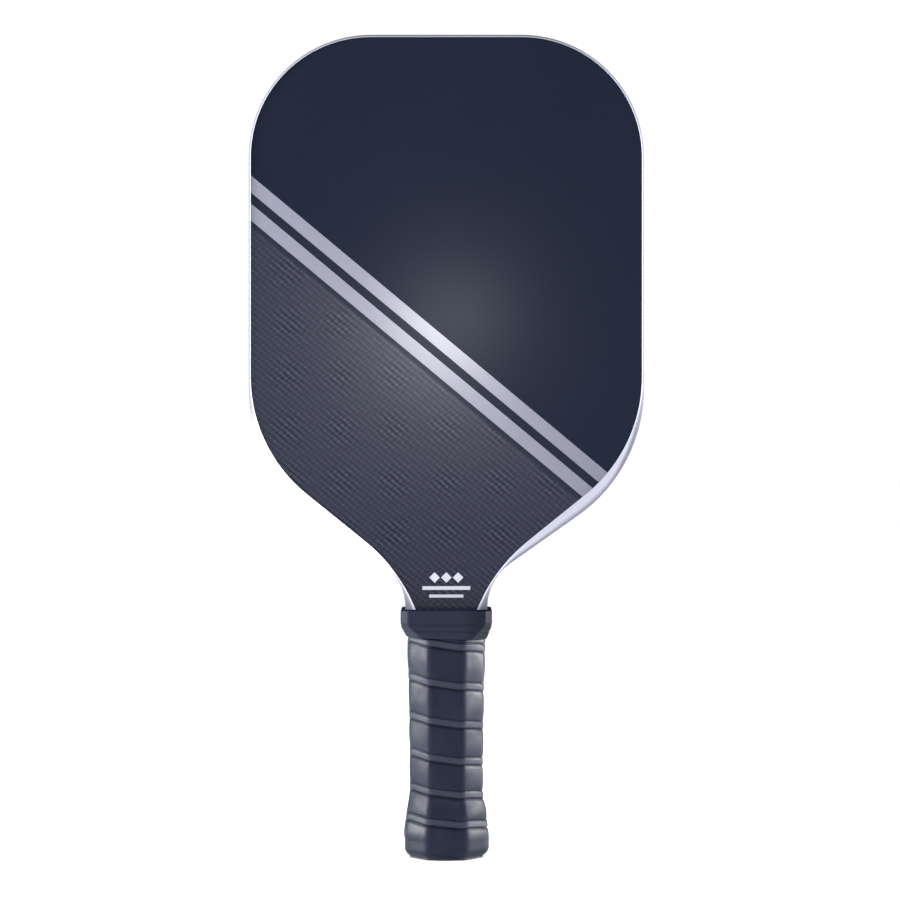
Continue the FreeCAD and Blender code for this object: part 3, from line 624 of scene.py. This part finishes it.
def wrap_relief(height, turn):
    """How far the wrap stands out, how deep in a crease it is and whether it is on a lap."""
    lag = FRONT_LAG * (1 - np.cos(2 * np.pi * turn)) / 2
    warped = turn - lag
    counts = np.arange(len(SEAM_HEIGHTS))
    phase = np.interp(-height, -SEAM_HEIGHTS, counts) - warped
    seam = np.floor(phase)
    pitch = np.interp(seam + warped, counts[:-1] + 0.5, -np.diff(SEAM_HEIGHTS))
    below = (phase - seam) * pitch
    above = pitch - below
    on_lap = smooth_step(below / LAP_EDGES[0]) * smooth_step((LAP_WIDTH - below) / LAP_EDGES[1])
    panel = np.clip((below - LAP_WIDTH) / (pitch - LAP_WIDTH), 0, 1)
    crown = PANEL_CROWN * np.sin(np.pi * panel) ** 0.8
    upper_crease = np.exp(-(np.minimum(below, above) / CREASE_WIDTH) ** 2)
    lower_crease = np.exp(-((below - LAP_WIDTH - 0.1 * MM) / (1.3 * CREASE_WIDTH)) ** 2)
    # the crease sinks the wrap and also carries its painted shade
    crease = np.maximum(0.6 * upper_crease, lower_crease)
    # the lowest lap fades out behind, where the wrap's tapered end starts
    present = np.where(seam < LAST_SEAM - 0.5, 1.0, smooth_step((0.95 - turn) / 0.3))
    present = np.where(seam > LAST_SEAM + 0.5, 0.0, present)
    relief = LAP_RISE * on_lap + crown - CREASE_DEPTH * crease
    return relief * present, crease * present, on_lap * present


def grip_wrap():
    """The wrap with its turns, from the rounded foot up the outside and back down the bore."""
    base, _ = handle_octagon(0.0, INSIDE_CORNER)
    gaps = np.linalg.norm(np.roll(base, -1, axis=0) - base, axis=1)
    turn = np.concatenate(([0.0], np.cumsum(gaps)[:-1])) / gaps.sum()
    foot_centre = WRAP_OUTSIDE[0][1] - FOOT_RADIUS
    foot_top = WRAP_OUTSIDE[0][0]
    start = math.acos((WRAP_INSIDE[-1][1] - foot_centre) / FOOT_RADIUS)
    angles = np.linspace(start, 0.0, FOOT_RINGS + 1)[:-1]
    heights = np.concatenate([foot_top - FOOT_RADIUS * np.sin(angles),
                              np.arange(foot_top, WRAP_OUTSIDE[-1][0], RING_STEP),
                              [WRAP_OUTSIDE[-1][0]]])
    grows = np.concatenate([foot_centre + FOOT_RADIUS * np.cos(angles),
                            np.interp(heights[len(angles):], *WRAP_OUTSIDE.T)])
    # the corners of the outside's profile are smoothed, apart from the foot
    run = np.hanning(SMOOTHING_RINGS)
    shaft = grows[len(angles):]
    padded = np.pad(shaft, len(run) // 2, mode="edge")
    grows[len(angles):] = np.convolve(padded, run / run.sum(), mode="valid")
    fade = smooth_step((heights - heights[0]) / RELIEF_START)
    rings, creases, laps = [], [], []
    for height, grow, strength in zip(heights, grows, fade):
        points, normals = handle_octagon(grow, PADDED_CORNER, PADDED_BEVEL)
        relief, crease, lap = wrap_relief(np.full(COLUMNS, height), turn)
        out = relief * strength - RELIEF_SINK
        rings.append(ring_at(points + normals * out[:, None], height))
        creases.append(crease * strength)
        laps.append(lap * strength)
    for height, grow in WRAP_INSIDE:
        rings.append(ring_at(handle_octagon(grow, INSIDE_CORNER)[0], height))
        creases.append(np.zeros(COLUMNS))
        laps.append(np.zeros(COLUMNS))
    piece = closed_sheet("grip_wrap_turns", rings, {"crease": creases, "lap": laps},
                         wrap_leather())
    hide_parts("grip_wrap")


# ---- rubber collar -----------------------------------------------------------------------------

COLLAR_SHOULDER = 114.6 * MM
COLLAR_BEVEL = 3.6 * MM
COLLAR_DEPTH = 17.2 * MM
COLLAR_FOOT_GROW = 4.0 * MM
COLLAR_FOOT_SQUARE = 2.4 * MM
COLLAR_GROOVES = np.array([115.6, 112.4]) * MM
GROOVE_DEPTH = 0.16 * MM
GROOVE_WIDTH = 0.45 * MM
COLLAR_CORNER = 2.2 * MM
COLLAR_ROUND = 0.6 * MM
COLLAR_FOOT_ROUND = 0.7 * MM
# How far the bore and its mouth stand off the handle, and the height of the mouth.
BORE_GROW, MOUTH_GROW, MOUTH_DEPTH = 2.75 * MM, 3.4 * MM, 1.8 * MM
NECK_HALF_WIDTH = 20.4 * MM
NECK_GAP = 0.1 * MM
# The lower edge's fall per metre to the right.
FOOT_LEAN = 0.035


def grip_collar():
    """The collar, from its lower edge up the outside, over the top and back down the bore."""
    low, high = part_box("grip_collar")
    handle_low, handle_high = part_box("handle_front_half")
    guard_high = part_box("edge_guard")[1]
    shoulder = (high.x, COLLAR_DEPTH, COLLAR_BEVEL)
    foot = (handle_high.x + COLLAR_FOOT_GROW, -handle_low.y + COLLAR_FOOT_GROW,
            HANDLE_BEVEL + COLLAR_FOOT_GROW * BEVEL_SHARE - COLLAR_FOOT_SQUARE)

    def outline(height, inset):
        part = smooth_step((height - low.z) / (COLLAR_SHOULDER + 2 * MM - low.z)) ** 0.8
        wide, deep, bevel = (a * (1 - part) + b * part for a, b in zip(foot, shoulder))
        return octagon(wide - inset, deep - inset, bevel, min(COLLAR_CORNER, 0.8 * bevel))

    heights = np.concatenate([np.linspace(low.z, COLLAR_SHOULDER, 40)[:-1],
                              np.linspace(COLLAR_SHOULDER, high.z - COLLAR_ROUND, 50)])
    rings, creases = [], []
    for height in heights:
        grooves = np.exp(-((height - COLLAR_GROOVES) / GROOVE_WIDTH) ** 2).sum()
        foot_round = COLLAR_FOOT_ROUND * math.exp(-(height - low.z) / (0.5 * MM))
        points, _ = outline(height, GROOVE_DEPTH * grooves + foot_round)
        rings.append(ring_at(points, height))
        # the grooves carry the collar's painted shade
        creases.append(np.full(COLUMNS, 0.55 * grooves))
    for angle in np.radians([20, 40, 60, 80]):
        points, _ = outline(high.z, COLLAR_ROUND * (1 - math.cos(angle)))
        rings.append(ring_at(points, high.z - COLLAR_ROUND * (1 - math.sin(angle))))
        creases.append(np.zeros(COLUMNS))
    # the opening in the top, a rectangle that the neck of the head comes through
    base, _ = handle_octagon(0.0, COLLAR_CORNER)
    reach = np.minimum(NECK_HALF_WIDTH / np.maximum(np.abs(base[:, 0]), 1e-9),
                       (guard_high.y + NECK_GAP) / np.maximum(np.abs(base[:, 1]), 1e-9))
    opening = base * reach[:, None]
    # the bore, which widens into a mouth at the bottom
    bore = handle_octagon(BORE_GROW, COLLAR_CORNER)[0]
    mouth = handle_octagon(MOUTH_GROW, COLLAR_CORNER)[0]
    for points, height in ((opening, high.z), (opening, handle_high.z), (bore, handle_high.z),
                           (bore, low.z + MOUTH_DEPTH), (mouth, low.z)):
        rings.append(ring_at(points, height))
        creases.append(np.zeros(COLUMNS))
    # the lower edge hangs a little lower on the right and higher on the left
    rings = np.array(rings)
    near_foot = smooth_step((COLLAR_SHOULDER - rings[:, :, 2]) / (COLLAR_SHOULDER - low.z))
    rings[:, :, 2] -= FOOT_LEAN * rings[:, :, 0] * near_foot
    piece = closed_sheet("grip_collar_rubber", rings, {"crease": creases}, collar_rubber())
    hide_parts("grip_collar")


# ---- edge guard --------------------------------------------------------------------------------


def soften_guard():
    """Small rounds on the guard's moulded edges."""
    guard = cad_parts["edge_guard"]
    bevel = guard.modifiers.new("moulded_edges", "BEVEL")
    bevel.width = 0.35 * MM
    bevel.segments = 3
    bevel.limit_method = "ANGLE"
    bevel.angle_limit = math.radians(24)
    bevel.use_clamp_overlap = True


# ---- stage, light and camera -------------------------------------------------------------------


FLOOR_REACH = 14.0
CAMERA_DISTANCE = 1.10
FRAME_HEIGHT = 0.444


def stage():
    """A wide pale floor that fades into the pale surroundings."""
    g = Graph("floor_paint")
    cloud = g.noise(3, 2)
    g.set(Base_Color=g.blend(cloud, (0.93, 0.93, 0.935), (0.95, 0.95, 0.955)))
    g.set(Roughness=0.9)
    g.set(Specular_IOR_Level=0.1)
    mesh = bpy.data.meshes.new("floor")
    corners = [(x * FLOOR_REACH, y * FLOOR_REACH, 0)
               for x, y in ((-1, -1), (1, -1), (1, 1), (-1, 1))]
    mesh.from_pydata(corners, [], [(0, 1, 2, 3)])
    mesh.materials.append(g.material)
    floor = bpy.data.objects.new("floor", mesh)
    bpy.context.scene.collection.objects.link(floor)


def surroundings():
    """An even white studio all round."""
    world = bpy.data.worlds.new("studio")
    world.use_nodes = True
    background = world.node_tree.nodes["Background"]
    background.inputs["Color"].default_value = (1.0, 1.0, 1.0, 1.0)
    background.inputs["Strength"].default_value = 1.08
    bpy.context.scene.world = world


def softbox(name, place, target, width, height, power, colour=(1, 1, 1)):
    """A rectangular lamp that faces its target."""
    light = bpy.data.lights.new(name, "AREA")
    light.shape = "RECTANGLE"
    light.size = width
    light.size_y = height
    light.energy = power
    light.color = colour
    lamp = bpy.data.objects.new(name, light)
    lamp.location = place
    lamp.rotation_mode = "QUATERNION"
    lamp.rotation_quaternion = (Vector(target) - Vector(place)).to_track_quat("-Z", "Y")
    bpy.context.scene.collection.objects.link(lamp)


def lights():
    """A small lamp in front, which makes the round glow, and a tall strip on each side."""
    softbox("front_glow", (0.005, -1.12, 0.332), (0, 0, 0.265), 0.06, 0.06, 0.93,
            (0.89, 0.90, 0.97))
    softbox("left_strip", (-1.0, -0.14, 0.22), (0, 0, 0.18), 0.40, 0.9, 32.5)
    softbox("right_strip", (1.0, 0.14, 0.22), (0, 0, 0.18), 0.40, 0.9, 30.5)


def camera():
    """A long lens straight in front, level with the middle of the paddle."""
    front = cad_bounds[0][1]
    data = bpy.data.cameras.new("camera")
    data.sensor_width = 36.0
    data.lens = data.sensor_width * CAMERA_DISTANCE / FRAME_HEIGHT
    data.clip_start = 0.05
    data.clip_end = 60.0
    eye = bpy.data.objects.new("camera", data)
    eye.location = (0.0018, front - CAMERA_DISTANCE + 0.010, 0.2013)
    eye.rotation_euler = (math.radians(90), 0, 0)
    bpy.context.scene.collection.objects.link(eye)
    bpy.context.scene.camera = eye


bpy.context.scene.view_settings.view_transform = "Standard"
camera()
stage()
surroundings()
lights()
paint_all()
grip_wrap()
grip_collar()
soften_guard()
